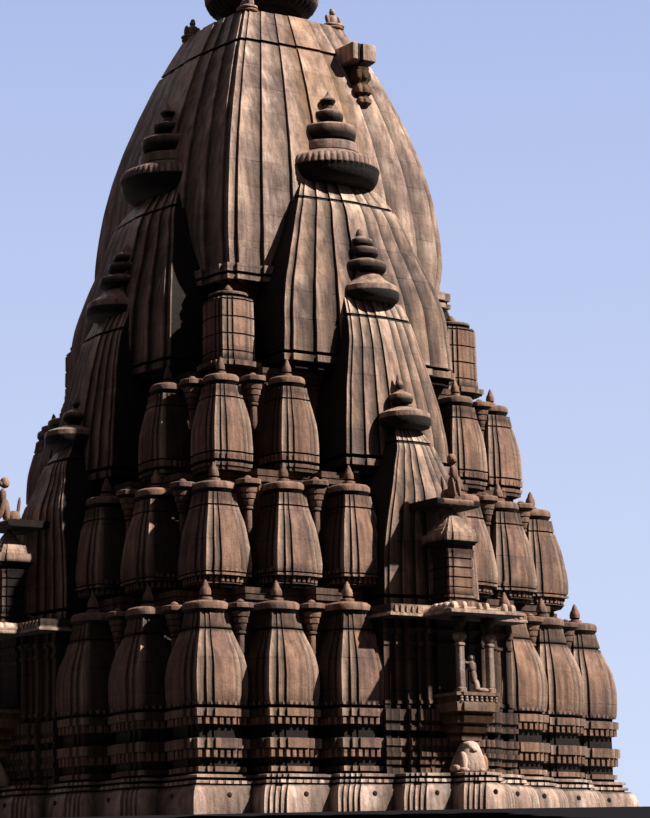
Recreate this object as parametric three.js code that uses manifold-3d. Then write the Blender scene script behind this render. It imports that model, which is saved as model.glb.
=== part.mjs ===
// Stone temple tower (shikhara): a curved square spire that rises over four stepped rows of miniature
// towers, with three engaged half spires, a projecting bay, a balcony and a turret on each side.
// Millimetres, +Z up. The origin is the middle of the flat underside. The four sides are alike:
// right faces +X, back +Y, left -X and front -Y. The flag holder is on the right side only.
import * as THREE from 'three';
import { mergeVertices } from 'three/addons/utils/BufferGeometryUtils.js';
import Module from 'manifold-3d';

const wasm = await Module();
wasm.setup();

// Joint left between stones that are set against each other.
const JOINT = 0.3;

// Levels: top of the base course, tops of the four tiers, roof of the bays, shoulder and crown.
const BASE_TOP = 525;
const TIER_TOP = [2965, 4600, 6100, 7415];
const ROOF_BOTTOM = 2525;
const ROOF_TOP = 2690;
const SHOULDER_TOP = 11800;
const CROWN_BOTTOM = 12075;

// Walls of each tier: how far out and how far sideways each rectangle of the stepped plan reaches.
const TIER_WALLS = [
  [[2870, 2870], [3190, 2540], [3500, 1640]],
  [[2500, 2500], [2850, 2090], [3090, 1230]],
  [[2110, 2110], [2400, 1680]],
  [[1740, 1740]],
];
// The wall of a corner starts this far sideways of the middle of a face.
const WALL_START = [900, 600, 700, 1000];
// The masonry core stands this far behind the wall faces of each tier.
const FACING = [400, 400, 400, 240];

// Lobes of the base course: how far out and sideways each reaches at its foot, and its rounded edge
// from the foot up, as height and step outwards.
const BASE_LOBES = [[3655, 3655], [4060, 2790], [4365, 1880], [4710, 1100], [5075, 435]];
const BASE_EDGE = [[0, 0], [330, -50], [BASE_TOP, -190]];

// Middles of the miniature towers in one eighth of each tier: distance out and distance sideways.
const TIER_TOWERS = [
  [[3075, 3075], [3406, 2201], [3716, 1301]],
  [[2670, 2670], [3030, 1805], [3277, 920]],
  [[2300, 2300], [2600, 1430]],
  [[1920, 1920]],
];
// Miniature tower of each tier from the bottom up: height above its foot and half width.
const TOWER_ROWS = [
  [[0, 300], [130, 300], [150, 390], [830, 392], [860, 345], [1200, 396], [1450, 388], [1885, 276],
    [2075, 240]],
  [[0, 300], [170, 335], [250, 318], [560, 348], [780, 338], [1075, 264], [1270, 230]],
  [[0, 285], [150, 308], [560, 318], [800, 305], [1085, 246], [1175, 220]],
  [[0, 300], [90, 300], [120, 256], [950, 250], [1000, 215]],
];
// Disc that tops a miniature tower: radius, height, and height of its tip.
const TOWER_DISC = [[270, 175, 480], [255, 175, 340], [240, 135, 290], [255, 150, 255]];

// Engaged half spires from the lowest up. A row is height, distance of the front face and half width. The
// stack of discs on top stands at a distance out, leans back by a share of its height, and has rings of
// radius and height.
const SPIRES = [
  {
    name: 'lower_spire',
    inner: 2300,
    rows: [[2690.6, 3930, 810], [2840, 3930, 810], [2870, 3900, 785], [3500, 3895, 755], [4000, 3855, 675],
      [4250, 3810, 600], [4710, 3670, 425], [4965, 3590, 318], [5215, 3445, 262]],
    discs: {
      out: 3350,
      lean: 0.2,
      rings: [[220, 5215], [350, 5365], [350, 5440], [115, 5535], [95, 5606], [152, 5678], [148, 5727], [48, 5780],
        [52, 5880], [14, 6020]],
    },
  },
  {
    name: 'middle_spire',
    inner: 1500,
    rows: [[4600, 3290, 935], [4800, 3290, 935], [4830, 3235, 905], [5290, 3190, 876], [5920, 3075, 768],
      [6500, 2947, 630], [6785, 2863, 577], [7155, 2690, 485]],
    discs: {
      out: 2605,
      lean: 0.2,
      rings: [[300, 7150], [412, 7260], [412, 7350], [190, 7560], [180, 7600], [292, 7682], [290, 7728], [130, 7810],
        [205, 7905], [200, 7950], [100, 7975], [156, 8050], [130, 8100], [28, 8250]],
    },
  },
  {
    name: 'upper_spire',
    inner: 900,
    rows: [[6100, 2730, 1490], [6290, 2730, 1490], [6320, 2665, 1470], [6700, 2645, 1465], [7240, 2573, 1415],
      [7680, 2465, 1270], [8120, 2333, 1087], [8580, 2173, 904], [9000, 1975, 700]],
    discs: {
      out: 1610,
      lean: -0.05,
      rings: [[400, 8995], [740, 9235], [736, 9335], [450, 9500], [442, 9640], [385, 9690], [405, 9812], [398, 9895],
        [205, 9969], [218, 10090], [210, 10130], [112, 10210], [100, 10330], [20, 10458]],
    },
  },
];
// The outer corners of a half spire step back by this share of its half width.
const SPIRE_NOTCH = 0.12;

// Main spire from the bottom up: height and half width of its corner bands.
const MAIN_ROWS = [
  [7415, 1930], [7640, 1930], [7670, 1810], [8100, 1850], [8700, 1812], [9425, 1702], [10005, 1558],
  [10585, 1372], [11020, 1212], [11235, 1122], [11260, 1085], [11530, 985], [SHOULDER_TOP, 860],
];
// Bands of each face: where they begin and how far they stand out, both as shares of the half width.
const MAIN_BANDS = [[0.76, 0.044], [0.3, 0.084]];

// Bay in the middle of each side: rectangles of its stepped front, and the two ledges round its foot.
const BAY_STEPS = [[4320, 410], [4240, 750], [4150, 1050]];
const BAY_LEDGES = [[740, 980], [1080, 1355]];
const BAY_LEDGE_OUT = 70;
const BAY_INNER = 3000;
const BAY_ROOF = [[4430, 1130], [5030, 600]];

// Balcony: corbel, floor block and two columns, with a crouching beast under it.
const BALCONY = { front: 4785, half: 350, floor: 1390, rail: 1550 };
const CORBEL = [[935, 4540, 190], [1100, 4600, 210], [1300, 4740, 300], [1390, 4785, 350]];
const COLUMN = { out: 4705, side: 240 };
const COLUMN_RINGS = [[62, 1540], [62, 2200], [92, 2290], [62, 2370], [95, ROOF_BOTTOM - JOINT]];
const BEAST = [[580, 4880, 210], [700, 4860, 200], [860, 4760, 180], [940, 4640, 160]];

// Turret on the roof of the bay, and the shelf with a lion over it.
const TURRET = { out: 4280, half: 220, corniceBottom: 3545, corniceTop: 3665, corniceHalf: 300, tip: 4010 };
const SHELF = { inner: 3500, front: 4530, half: 350, bottom: 4000, top: 4115 };
const LION = { half: 80, out: 4330 };
const LION_OUTLINE = [[-210, -10], [-210, 260], [-150, 330], [20, 350], [60, 470], [40, 590], [110, 670],
  [200, 640], [215, 540], [160, 480], [190, 330], [150, -10], [80, -10], [60, 170], [-90, 160], [-110, -10]];

// Flag holder on the right side: a block let into the face beside its middle, and the carved drop under it.
const FLAG_BEAM = { inner: 1000, out: 1600, middle: 735, half: 215, bottom: 11000, top: 11350 };
const FLAG_BRACKET_OUTLINE = [[1200, 10700], [1330, 10560], [1440, 10400], [1530, 10430], [1560, 10700],
  [1585, 10999.5], [1200, 10999.5]];
const FLAG_BRACKET_HALF = 120;

// Seated figures on the four corners of the shoulder.
const SHOULDER_FIGURE = { side: 760, half: 155, rise: 300 };

// Crown: rings as shares of the disc's radius, radius first and then height.
const DISC_RINGS = [[0.66, 0], [0.92, 0.13], [1, 0.38], [0.93, 0.62], [0.72, 0.74]];
const FINIAL_RINGS = [[0.6, 0.74], [0.36, 0.98], [0.54, 1.06], [0.54, 1.28], [0.28, 1.42], [0.31, 1.68],
  [0.12, 2.0], [0.04, 2.3]];
const CROWN_RADIUS = 868;
const NECK_RADIUS = 590;

// Finish of the stone where it is weathered, in the shade of the ledges, and washed pale.
const STONE = { color: 0x8a6c55, roughness: 0.92, metalness: 0 };
const STONE_DARK = { color: 0x6f5645, roughness: 0.94, metalness: 0 };
const STONE_PALE = { color: 0xa98f78, roughness: 0.9, metalness: 0 };

// Turns a closed geometry into a solid that can be joined and cut.
function solidOf(geometry) {
  geometry.deleteAttribute('normal');
  geometry.deleteAttribute('uv');
  const merged = mergeVertices(geometry, 1e-3);
  return new wasm.Manifold(new wasm.Mesh({
    numProp: 3,
    vertProperties: new Float32Array(merged.attributes.position.array),
    triVerts: new Uint32Array(merged.index.array),
  }));
}

// Turns a solid back into a geometry.
function geometryOf(solid) {
  const mesh = solid.getMesh();
  const geometry = new THREE.BufferGeometry();
  geometry.setAttribute('position', new THREE.BufferAttribute(new Float32Array(mesh.vertProperties), 3));
  geometry.setIndex(new THREE.BufferAttribute(new Uint32Array(mesh.triVerts), 1));
  return geometry;
}

function join(solids) {
  return solids.reduce((sum, solid) => sum.add(solid));
}

function cut(solid, others) {
  return others.reduce((rest, other) => rest.subtract(other), solid);
}

// Box between two heights, grown on every side.
function box(x0, x1, y0, y1, z0, z1, grow = 0) {
  const geometry = new THREE.BoxGeometry(x1 - x0 + 2 * grow, y1 - y0 + 2 * grow, z1 - z0 + 2 * grow);
  geometry.translate((x0 + x1) / 2, (y0 + y1) / 2, (z0 + z1) / 2);
  return solidOf(geometry);
}

// Skin over outlines stacked up the height, closed with a cap at each end. The outlines turn left.
function loft(levels) {
  const count = levels[0].outline.length;
  const last = levels.length - 1;
  const points = levels.flatMap(({ z, outline }) => outline.flatMap(([x, y]) => [x, y, z]));
  const faces = [];
  for (let level = 0; level < last; level += 1) {
    for (let i = 0; i < count; i += 1) {
      const a = level * count + i;
      const b = level * count + ((i + 1) % count);
      faces.push(a, b, b + count, a, b + count, a + count);
    }
  }
  const cap = (level) => THREE.ShapeUtils.triangulateShape(
    levels[level].outline.map(([x, y]) => new THREE.Vector2(x, y)),
    [],
  ).map((triangle) => triangle.map((corner) => corner + level * count));
  cap(0).forEach(([a, b, c]) => faces.push(c, b, a));
  cap(last).forEach(([a, b, c]) => faces.push(a, b, c));
  const geometry = new THREE.BufferGeometry();
  geometry.setAttribute('position', new THREE.Float32BufferAttribute(points, 3));
  geometry.setIndex(faces);
  return solidOf(geometry);
}

// Round piece about an upright line at x and y, from rings of radius and height. A lean shears it back.
function turned(rings, segments, x, y, lean = 0) {
  const bottom = rings[0][1];
  const top = rings[rings.length - 1][1];
  const profile = [[0, bottom], ...rings, [0, top]].map(([r, z]) => new THREE.Vector2(r, z));
  const geometry = new THREE.LatheGeometry(profile, segments);
  geometry.rotateX(Math.PI / 2);
  const place = new THREE.Matrix4().set(1, 0, -lean, x + lean * bottom, 0, 1, 0, y, 0, 0, 1, 0, 0, 0, 0, 1);
  geometry.applyMatrix4(place);
  return solidOf(geometry);
}

// Upright plate with an outline of distance out and height, laid across the right side.
function plate(outline, out, bottom, half) {
  const shape = new THREE.Shape(outline.map(([x, z]) => new THREE.Vector2(x, z)));
  const geometry = new THREE.ExtrudeGeometry(shape, { depth: 2 * half, bevelEnabled: false, steps: 1 });
  geometry.rotateX(Math.PI / 2);
  geometry.translate(out, half, bottom);
  return solidOf(geometry);
}

// Repeats the points of one corner at the four corners of a square.
function fourCorners(corner) {
  const turns = [([x, y]) => [x, y], ([x, y]) => [-y, x], ([x, y]) => [-x, -y], ([x, y]) => [y, -x]];
  return turns.flatMap((turn) => corner.map(turn));
}

// Square whose faces step out in bands towards their middle.
function bandedSquare(half, bands) {
  let out = half;
  const steps = bands.flatMap(([share, step]) => {
    const from = out;
    out = half + step * half;
    return [[from, share * half], [out, share * half]];
  });
  const across = [...steps].reverse();
  const up = steps.map(([x, y]) => [y, x]);
  return fourCorners([...across, [half, half], ...up]);
}

// Rectangles laid both ways over each other, between two heights.
function steppedBlock(rectangles, z0, z1, grow = 0) {
  return join(rectangles.flatMap(([out, side]) => [
    box(-out, out, -side, side, z0, z1, grow),
    box(-side, side, -out, out, z0, z1, grow),
  ]));
}

// Turns a piece of the right side a number of quarters round the axis.
function quarterTurn(solid, quarters) {
  const [c, s] = [[1, 0], [0, 1], [-1, 0], [0, -1]][quarters];
  const turn = new THREE.Matrix4().set(c, -s, 0, 0, s, c, 0, 0, 0, 0, 1, 0, 0, 0, 0, 1);
  return solidOf(geometryOf(solid).applyMatrix4(turn));
}

// Masonry behind the tiers, which carries everything above the base course.
function core(grow) {
  const bottoms = [BASE_TOP + JOINT, ...TIER_TOP.slice(0, 3).map((top) => top - 50)];
  return join(TIER_WALLS.map((walls, tier) => steppedBlock(
    walls.map(([out, side]) => [out - FACING[tier], side - FACING[tier]]),
    bottoms[tier],
    TIER_TOP[tier] - JOINT,
    grow,
  )));
}

function baseCourse() {
  const lobe = (out, side) => loft(BASE_EDGE.map(([z, step]) => {
    const [a, b] = [out + step, side + step];
    return { z, outline: [[a, -b], [a, b], [-a, b], [-a, -b]] };
  }));
  return join(BASE_LOBES.flatMap(([out, side]) => [lobe(out, side), lobe(side, out)]));
}

// Foot of a tier. The fourth tier is one mass with the third.
function footOf(tier) {
  return [BASE_TOP + JOINT, TIER_TOP[0], TIER_TOP[1], TIER_TOP[2] - 2 * JOINT][tier];
}

// Miniature tower with its disc and tip.
function tower(tier, x, y) {
  const foot = footOf(tier);
  const rows = TOWER_ROWS[tier];
  const body = loft(rows.map(([height, half]) => ({
    z: foot + height,
    outline: fourCorners([[half, half]]).map(([a, b]) => [a + x, b + y]),
  })));
  const seat = foot + rows[rows.length - 1][0];
  const [radius, height, tip] = TOWER_DISC[tier];
  const disc = turned([
    [radius * 0.85, seat - 20],
    [radius, seat + height * 0.35],
    [radius * 0.45, seat + height],
    [radius * 0.1, seat + tip],
  ], 6, x, y);
  return body.add(disc);
}

// Wall and towers of one tier in the corner between the right and the back side.
function tierCorner(tier) {
  const bottom = footOf(tier);
  const top = TIER_TOP[tier] - JOINT;
  const start = WALL_START[tier];
  const reach = 2 * TIER_WALLS[tier][0][0];
  const wall = steppedBlock(TIER_WALLS[tier], bottom, top).intersect(box(start, reach, start, reach, 0, top + 1));
  const eighth = TIER_TOWERS[tier];
  const towers = eighth.flatMap(([out, side]) => (
    out === side ? [tower(tier, out, side)] : [tower(tier, out, side), tower(tier, side, out)]
  ));
  return join([wall, ...towers]);
}

// Finial rings at their real size.
function ringsAt(rings, radius, bottom) {
  return rings.map(([r, z]) => [r * radius, bottom + z * radius]);
}

// Half spire against the right side, with its stack of discs.
function halfSpire({ rows, inner, discs }, grow) {
  const body = loft(rows.map(([z, out, half], i) => {
    const notch = half * SPIRE_NOTCH;
    const [o, h] = [out + grow, half + grow];
    const lift = i === 0 ? -grow : 0;
    return {
      z: z + lift,
      outline: [[inner, -h], [o - notch, -h], [o - notch, notch - h], [o, notch - h], [o, h - notch],
        [o - notch, h - notch], [o - notch, h], [inner, h]],
    };
  }));
  const rings = discs.rings.map(([r, z]) => [r + grow, z]);
  return body.add(turned(rings, 12, discs.out, 0, discs.lean));
}

// Main spire, with the seated figures on its shoulder.
function mainSpire(grow) {
  const body = loft(MAIN_ROWS.map(([z, half], i) => ({
    z: i === 0 ? z - grow : z,
    outline: bandedSquare(half + grow, MAIN_BANDS),
  })));
  const { side, half, rise } = SHOULDER_FIGURE;
  const figures = [[1, 1], [-1, 1], [-1, -1], [1, -1]].map(([x, y]) => turned([
    [half, SHOULDER_TOP - 60],
    [half, SHOULDER_TOP + rise * 0.5],
    [half * 0.5, SHOULDER_TOP + rise],
  ], 8, x * side, y * side));
  return join([body, ...figures]);
}

// Wall of the bay on the right side.
function bay(grow) {
  const steps = BAY_STEPS.map(([out, half]) => (
    box(BAY_INNER, out, -half, half, BASE_TOP + JOINT, ROOF_BOTTOM - JOINT, grow)
  ));
  const [out, half] = BAY_STEPS[0];
  const ledges = BAY_LEDGES.map(([z0, z1]) => (
    box(BAY_INNER, out + BAY_LEDGE_OUT, -half - BAY_LEDGE_OUT, half + BAY_LEDGE_OUT, z0, z1, grow)
  ));
  return join([...steps, ...ledges]);
}

function bayRoof(grow) {
  return join(BAY_ROOF.map(([out, half]) => (
    box(BAY_INNER, out, -half, half, ROOF_BOTTOM, ROOF_TOP, grow)
  )));
}

// Balcony on the right side: beast, corbel, parapet block and two columns.
function balcony() {
  const inner = BAY_STEPS[0][0] - 200;
  const tapered = (rows) => loft(rows.map(([z, front, half]) => ({
    z,
    outline: [[inner, -half], [front, -half], [front, half], [inner, half]],
  })));
  const { front, half, floor, rail } = BALCONY;
  const columns = [-COLUMN.side, COLUMN.side].map((side) => (
    turned(COLUMN_RINGS, 6, COLUMN.out, side)
  ));
  const parapet = box(inner, front, -half, half, floor - 5, rail);
  return join([tapered(BEAST), tapered(CORBEL), parapet, ...columns]);
}

// Turret on the roof of the right bay, with the shelf and the lion that it carries.
function turret() {
  const { out, half, corniceBottom, corniceTop, corniceHalf, tip } = TURRET;
  const square = (z, h) => ({ z, outline: [[out + h, -h], [out + h, h], [out - h, h], [out - h, -h]] });
  const body = loft([
    square(ROOF_TOP + JOINT, half + 30),
    square(ROOF_TOP + 130, half + 30),
    square(ROOF_TOP + 150, half),
    square(corniceBottom, half),
    square(corniceBottom + 20, corniceHalf),
    square(corniceTop, corniceHalf),
    square(tip, half * 0.3),
  ]);
  const shelf = box(SHELF.inner, SHELF.front, -SHELF.half, SHELF.half, SHELF.bottom, SHELF.top);
  const lion = plate(LION_OUTLINE, LION.out, SHELF.top, LION.half);
  return join([body, shelf, lion]);
}

function flagBeam(grow) {
  const { inner, out, middle, half, bottom, top } = FLAG_BEAM;
  return box(inner, out, middle - half, middle + half, bottom, top, grow);
}

function flagBracket() {
  return plate(FLAG_BRACKET_OUTLINE, 0, 0, FLAG_BRACKET_HALF).translate([0, FLAG_BEAM.middle, 0]);
}

const temple = new THREE.Group();
temple.name = 'temple_tower';

// Adds a solid to the model as a named mesh.
function addPiece(name, solid, finish) {
  const geometry = geometryOf(solid);
  geometry.computeVertexNormals();
  const mesh = new THREE.Mesh(geometry, new THREE.MeshStandardMaterial(finish));
  mesh.name = name;
  temple.add(mesh);
}

const SIDES = ['right', 'back', 'left', 'front'];
const CORNERS = ['back_right', 'back_left', 'front_left', 'front_right'];

// Pieces on the axis.
addPiece('base_course', baseCourse(), STONE_PALE);
addPiece('core_masonry', core(0), STONE_DARK);
addPiece('main_spire', mainSpire(0), STONE);
addPiece('crown_neck', turned([
  [NECK_RADIUS, SHOULDER_TOP + JOINT], [NECK_RADIUS, CROWN_BOTTOM - JOINT],
], 16, 0, 0), STONE_DARK);
addPiece('crown_disc', turned(ringsAt(DISC_RINGS, CROWN_RADIUS, CROWN_BOTTOM), 24, 0, 0), STONE);
addPiece('crown_finial', turned(ringsAt(
  [[0.6, 0.74 + JOINT / CROWN_RADIUS], ...FINIAL_RINGS.slice(1)],
  CROWN_RADIUS,
  CROWN_BOTTOM,
), 16, 0, 0), STONE);

// Pieces of each side, fitted round the masonry and round the larger pieces behind them.
const behind = [core(JOINT), mainSpire(JOINT)];
const grownSpires = SPIRES.map((spire) => halfSpire(spire, JOINT));
const spires = SPIRES.map((spire, i) => cut(halfSpire(spire, 0), [...behind, ...grownSpires.slice(i + 1)]));
const bayPiece = cut(bay(0), behind);
const roofPiece = cut(bayRoof(0), [...behind, grownSpires[0]]);
const balconyPiece = cut(balcony(), [bay(JOINT)]);
const turretPiece = cut(turret(), [grownSpires[0], grownSpires[1]]);
SIDES.forEach((side, quarters) => {
  SPIRES.forEach(({ name }, i) => addPiece(`${side}_${name}`, quarterTurn(spires[i], quarters), STONE));
  addPiece(`${side}_bay`, quarterTurn(bayPiece, quarters), STONE);
  addPiece(`${side}_bay_roof`, quarterTurn(roofPiece, quarters), STONE);
  addPiece(`${side}_balcony`, quarterTurn(balconyPiece, quarters), STONE_PALE);
  addPiece(`${side}_turret`, quarterTurn(turretPiece, quarters), STONE);
});

// Tiers of each corner, fitted between the pieces of the two sides. The third carries the fourth.
const neighbours = [...grownSpires, bay(JOINT), bayRoof(JOINT)];
const between = [...behind, ...neighbours, ...neighbours.map((solid) => quarterTurn(solid, 1))];
const corners = [tierCorner(0), tierCorner(1), tierCorner(2).add(tierCorner(3))].map((solid) => (
  cut(solid, between)
));
CORNERS.forEach((corner, quarters) => {
  corners.forEach((solid, i) => {
    addPiece(`${corner}_${['lower', 'middle', 'upper'][i]}_towers`, quarterTurn(solid, quarters), STONE);
  });
});

// Flag holder of the right side.
addPiece('flag_beam', cut(flagBeam(0), [mainSpire(JOINT)]), STONE);
addPiece('flag_bracket', cut(flagBracket(), [mainSpire(JOINT), flagBeam(JOINT)]), STONE);

export default temple;
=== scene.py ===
import bpy
import numpy as np
from mathutils import Matrix


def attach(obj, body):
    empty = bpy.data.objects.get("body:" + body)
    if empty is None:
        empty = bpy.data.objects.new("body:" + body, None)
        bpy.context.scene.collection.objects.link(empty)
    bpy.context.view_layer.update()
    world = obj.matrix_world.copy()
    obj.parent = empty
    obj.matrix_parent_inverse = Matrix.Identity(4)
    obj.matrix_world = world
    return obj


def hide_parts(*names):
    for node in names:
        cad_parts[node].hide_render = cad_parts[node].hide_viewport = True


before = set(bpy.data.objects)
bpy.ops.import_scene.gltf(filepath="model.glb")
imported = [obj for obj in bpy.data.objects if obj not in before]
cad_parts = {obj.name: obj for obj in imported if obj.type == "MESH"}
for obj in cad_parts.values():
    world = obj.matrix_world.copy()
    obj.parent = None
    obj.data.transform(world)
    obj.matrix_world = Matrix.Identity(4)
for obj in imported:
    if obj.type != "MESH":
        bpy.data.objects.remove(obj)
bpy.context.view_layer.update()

# Camera: a long lens low down and well out from the corner between the right and the front side, turned
# to the axis of the tower and tipped up 11 degrees. Angles in degrees, places in metres.
AROUND, TIP, ROLL = 34.840, 11.003, 1.235
EYE_AWAY, EYE_ASIDE, EYE_HEIGHT = 39.15, 0.8200475, -1.542
LENS = 120.16298
around, tip, roll = np.radians([AROUND, TIP, ROLL])
toward = np.array([np.cos(around), -np.sin(around), 0])
across = np.array([np.sin(around), np.cos(around), 0])
ahead = np.array([*(-toward[:2] * np.cos(tip)), np.sin(tip)])
above = np.array([*(toward[:2] * np.sin(tip)), np.cos(tip)])
right = across * np.cos(roll) - above * np.sin(roll)
up = across * np.sin(roll) + above * np.cos(roll)
eye = EYE_AWAY * toward + EYE_ASIDE * across + np.array([0, 0, EYE_HEIGHT])
view = Matrix.Identity(4)
for row in range(3):
    view[row][:] = (right[row], up[row], -ahead[row], eye[row])
camera = bpy.data.objects.new("camera", bpy.data.cameras.new("camera"))
camera.data.lens = LENS
camera.data.clip_end = 500
camera.matrix_world = view
bpy.context.scene.collection.objects.link(camera)
bpy.context.scene.camera = camera


# Floor: a plain pale round of smooth plaster. The eye is under it, so it lies mostly behind the tower.
def linear(code):
    """Linear red, green, blue and 1 from an sRGB hex value."""
    value = np.array([int(code[i:i + 2], 16) for i in (1, 3, 5)]) / 255
    return (*np.where(value <= 0.04045, value / 12.92, ((value + 0.055) / 1.055) ** 2.4), 1.0)


def add(tree, kind, settings=None, links=None):
    """Adds a node of a kind with its settings, sets or links its inputs, and gives its outputs."""
    made = tree.nodes.new(kind)
    for name, value in (settings or {}).items():
        setattr(made, name, value)
    for name, value in (links or {}).items():
        if isinstance(value, bpy.types.NodeSocket):
            tree.links.new(value, made.inputs[name])
        else:
            made.inputs[name].default_value = value
    return made.outputs


# Trowelled plaster, pale and matt, with a faint cloudiness of a hand's width.
plaster = bpy.data.materials.new("plaster_trowelled")
plaster.use_nodes = True
tree = plaster.node_tree
tree.nodes.clear()
place = add(tree, "ShaderNodeTexCoord")["Object"]
cloud = add(tree, "ShaderNodeTexNoise", None, {"Vector": place, "Scale": 4.0, "Detail": 3.0})["Fac"]
tone = add(tree, "ShaderNodeMix", {"data_type": "RGBA"},
           {0: cloud, 6: linear("#d6d2ca"), 7: linear("#dedbd4")})[2]
matt = add(tree, "ShaderNodeBsdfPrincipled", None, {"Base Color": tone, "Roughness": 0.85})["BSDF"]
add(tree, "ShaderNodeOutputMaterial", None, {"Surface": matt})

FLOOR_RADIUS, FLOOR_MIDDLE = 30.0, (-20.5, 13.6, 0)
turn = np.linspace(0, 2 * np.pi, 128, endpoint=False)
rim = FLOOR_RADIUS * np.stack([np.cos(turn), np.sin(turn), 0 * turn], 1) + FLOOR_MIDDLE
mesh = bpy.data.meshes.new("floor")
mesh.from_pydata(rim.tolist(), [], [list(range(len(rim)))])
mesh.materials.append(plaster)
floor = bpy.data.objects.new("floor", mesh)
floor.visible_diffuse = False
bpy.context.scene.collection.objects.link(floor)

# Light: one warm key high on the right, a weak fill from the far side, and a low even light that is stronger
# overhead, with a plain pale blue backdrop behind the tower.
# Name, direction it comes from, strength, colour and width in degrees.
LAMPS = (("key", (0.55, 0.46, 0.69), 10.4, "#fffaf4", 1.2),
         ("fill", (-0.85, 0.18, 0.45), 1.9, "#e6ebff", 20.0))
for name, direction, strength, code, width in LAMPS:
    lamp = bpy.data.lights.new(name, "SUN")
    lamp.energy = strength
    lamp.color = linear(code)[:3]
    lamp.angle = np.radians(width)
    light = bpy.data.objects.new(name, lamp)
    away = np.array(direction) / np.linalg.norm(direction)
    side = np.cross((0, 0, 1), away)
    side /= np.linalg.norm(side)
    light.matrix_world = Matrix(np.stack([side, np.cross(away, side), away], 1).tolist()).to_4x4()
    bpy.context.scene.collection.objects.link(light)

world = bpy.data.worlds.new("studio")
bpy.context.scene.world = world
world.use_nodes = True
tree = world.node_tree
tree.nodes.clear()
height = add(tree, "ShaderNodeSeparateXYZ", None, {0: add(tree, "ShaderNodeTexCoord")["Generated"]})["Z"]
band = add(tree, "ShaderNodeMapRange", None, {"Value": height, 1: 0.02, 2: 0.36})[0]
backdrop = add(tree, "ShaderNodeMix", {"data_type": "RGBA"},
               {0: band, 6: linear("#d6e2fd"), 7: linear("#a9bbe9")})[2]
shown = add(tree, "ShaderNodeBackground", None, {"Color": backdrop, "Strength": 1.0})[0]
overhead = add(tree, "ShaderNodeMapRange", None, {"Value": height, 1: -0.1, 2: 0.9, 3: 0.05, 4: 0.26})[0]
even = add(tree, "ShaderNodeBackground", None, {"Color": linear("#e9dff0"), "Strength": overhead})[0]
seen = add(tree, "ShaderNodeLightPath")["Is Camera Ray"]
both = add(tree, "ShaderNodeMixShader", None, {0: seen, 1: even, 2: shown})[0]
add(tree, "ShaderNodeOutputWorld", None, {"Surface": both})
bpy.context.scene.view_settings.view_transform = "Standard"


# Base course: a ring of stepped lobes in pale sandstone, each a rolled block with a fillet over it and
# petals cut along its foot. The blocks are dressed by chisel and laid dry under the walls.
def stairs(outs, sides):
    """Points of one eighth of a stepped square, per level: tread i runs at distance outs[i] from
    sides[i-1] to sides[i]. The last point is the corner. Shape (levels, points, 2)."""
    x = np.repeat(outs, 2, 1)
    y = np.concatenate([0 * outs[:, :1], np.repeat(sides, 2, 1)[:, :-1]], 1)
    return np.stack([x, y], -1)


def all_eighths(values):
    """Values per point of one eighth of the plan, carried to all eight."""
    return np.tile(np.concatenate([values, values[-2:0:-1]]), 4)


def all_round(outs, sides, heights):
    """Rings of a square body: each eighth of stairs() and its mirror image on the diagonal make a quarter,
    which is turned four times. Also gives 1 at the inner corners of the plan and 0 elsewhere."""
    eighth = stairs(outs, sides)
    quarter = np.concatenate([eighth, eighth[:, -2:0:-1, ::-1]], 1)
    x, y = quarter[..., 0], quarter[..., 1]
    ring = np.concatenate([np.stack(p, -1) for p in ((x, y), (-y, x), (-x, -y), (y, -x))], 1)
    z = np.broadcast_to(heights[:, None, None], (*ring.shape[:2], 1))
    nook = (np.arange(eighth.shape[1]) % 2 == 0).astype(float)
    nook[0] = 0
    return np.concatenate([ring, z], -1), all_eighths(nook)


# How far behind an outer corner the painted shade on a side begins.
SIDE_SHADE_BEHIND = 25


def against_wall(outs, sides, inner, heights):
    """Rings of a body that stands out from the wall behind it on the right side: stairs() and its mirror
    image in y, closed along the line x = inner. Also gives 1 at the inner corners and along the sides,
    which begins a little behind each outer corner."""
    half = stairs(outs, sides)
    reaches = outs[:, -1] - SIDE_SHADE_BEHIND, 0 * outs[:, -1] + inner
    half = np.concatenate([half, *(np.stack([x, sides[:, -1]], -1)[:, None] for x in reaches)], 1)
    ring = np.concatenate([half[:, :0:-1] * (1, -1), half], 1)
    z = np.broadcast_to(heights[:, None, None], (*ring.shape[:2], 1))
    nook = (np.arange(half.shape[1]) % 2 == 0).astype(float)
    nook[0], nook[-1] = 0, 1
    return np.concatenate([ring, z], -1), np.concatenate([nook[:0:-1], nook])


def skin(rings, grime_and_shade, ochre=0.0, foot=None, head=None):
    """Closed skin over rings that turn left and are stacked upwards: ring i joins ring i + 1 by quads, and a
    fan about a middle point closes each end. Grime_and_shade and ochre are shares per point: grime_and_shade
    darkens with grime and painted shade, and ochre rusts, or washes pale below nought. Gives points, quads,
    triangles and marks."""
    n, m = rings.shape[:2]
    ends = np.stack([rings[0].mean(0) if foot is None else foot, rings[-1].mean(0) if head is None else head])
    points = np.concatenate([rings.reshape(-1, 3), ends])
    i, j = np.meshgrid(np.arange(n - 1) * m, np.arange(m), indexing="ij")
    k = (j + 1) % m
    quads = np.stack([i + j, i + k, i + k + m, i + j + m], -1).reshape(-1, 4)
    a, b = np.arange(m), (np.arange(m) + 1) % m
    top = (n - 1) * m
    fans = [np.stack([0 * a + n * m, b, a], -1), np.stack([0 * a + n * m + 1, a + top, b + top], -1)]
    marks = np.zeros((len(points), 2))
    marks[:n * m, 0] = np.broadcast_to(grime_and_shade, (n, m)).ravel()
    marks[:n * m, 1] = np.broadcast_to(ochre, (n, m)).ravel()
    marks[n * m:] = marks[[0, n * m - 1]]
    return points, quads, np.concatenate(fans), marks


def gather(parts):
    """One part from several: their points one after the other, with the faces counted on."""
    starts = np.cumsum([0] + [len(p[0]) for p in parts[:-1]])
    return tuple(np.concatenate([p[k] + (start if k in (1, 2) else 0) for p, start in zip(parts, starts)])
                 for k in range(4))


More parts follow.
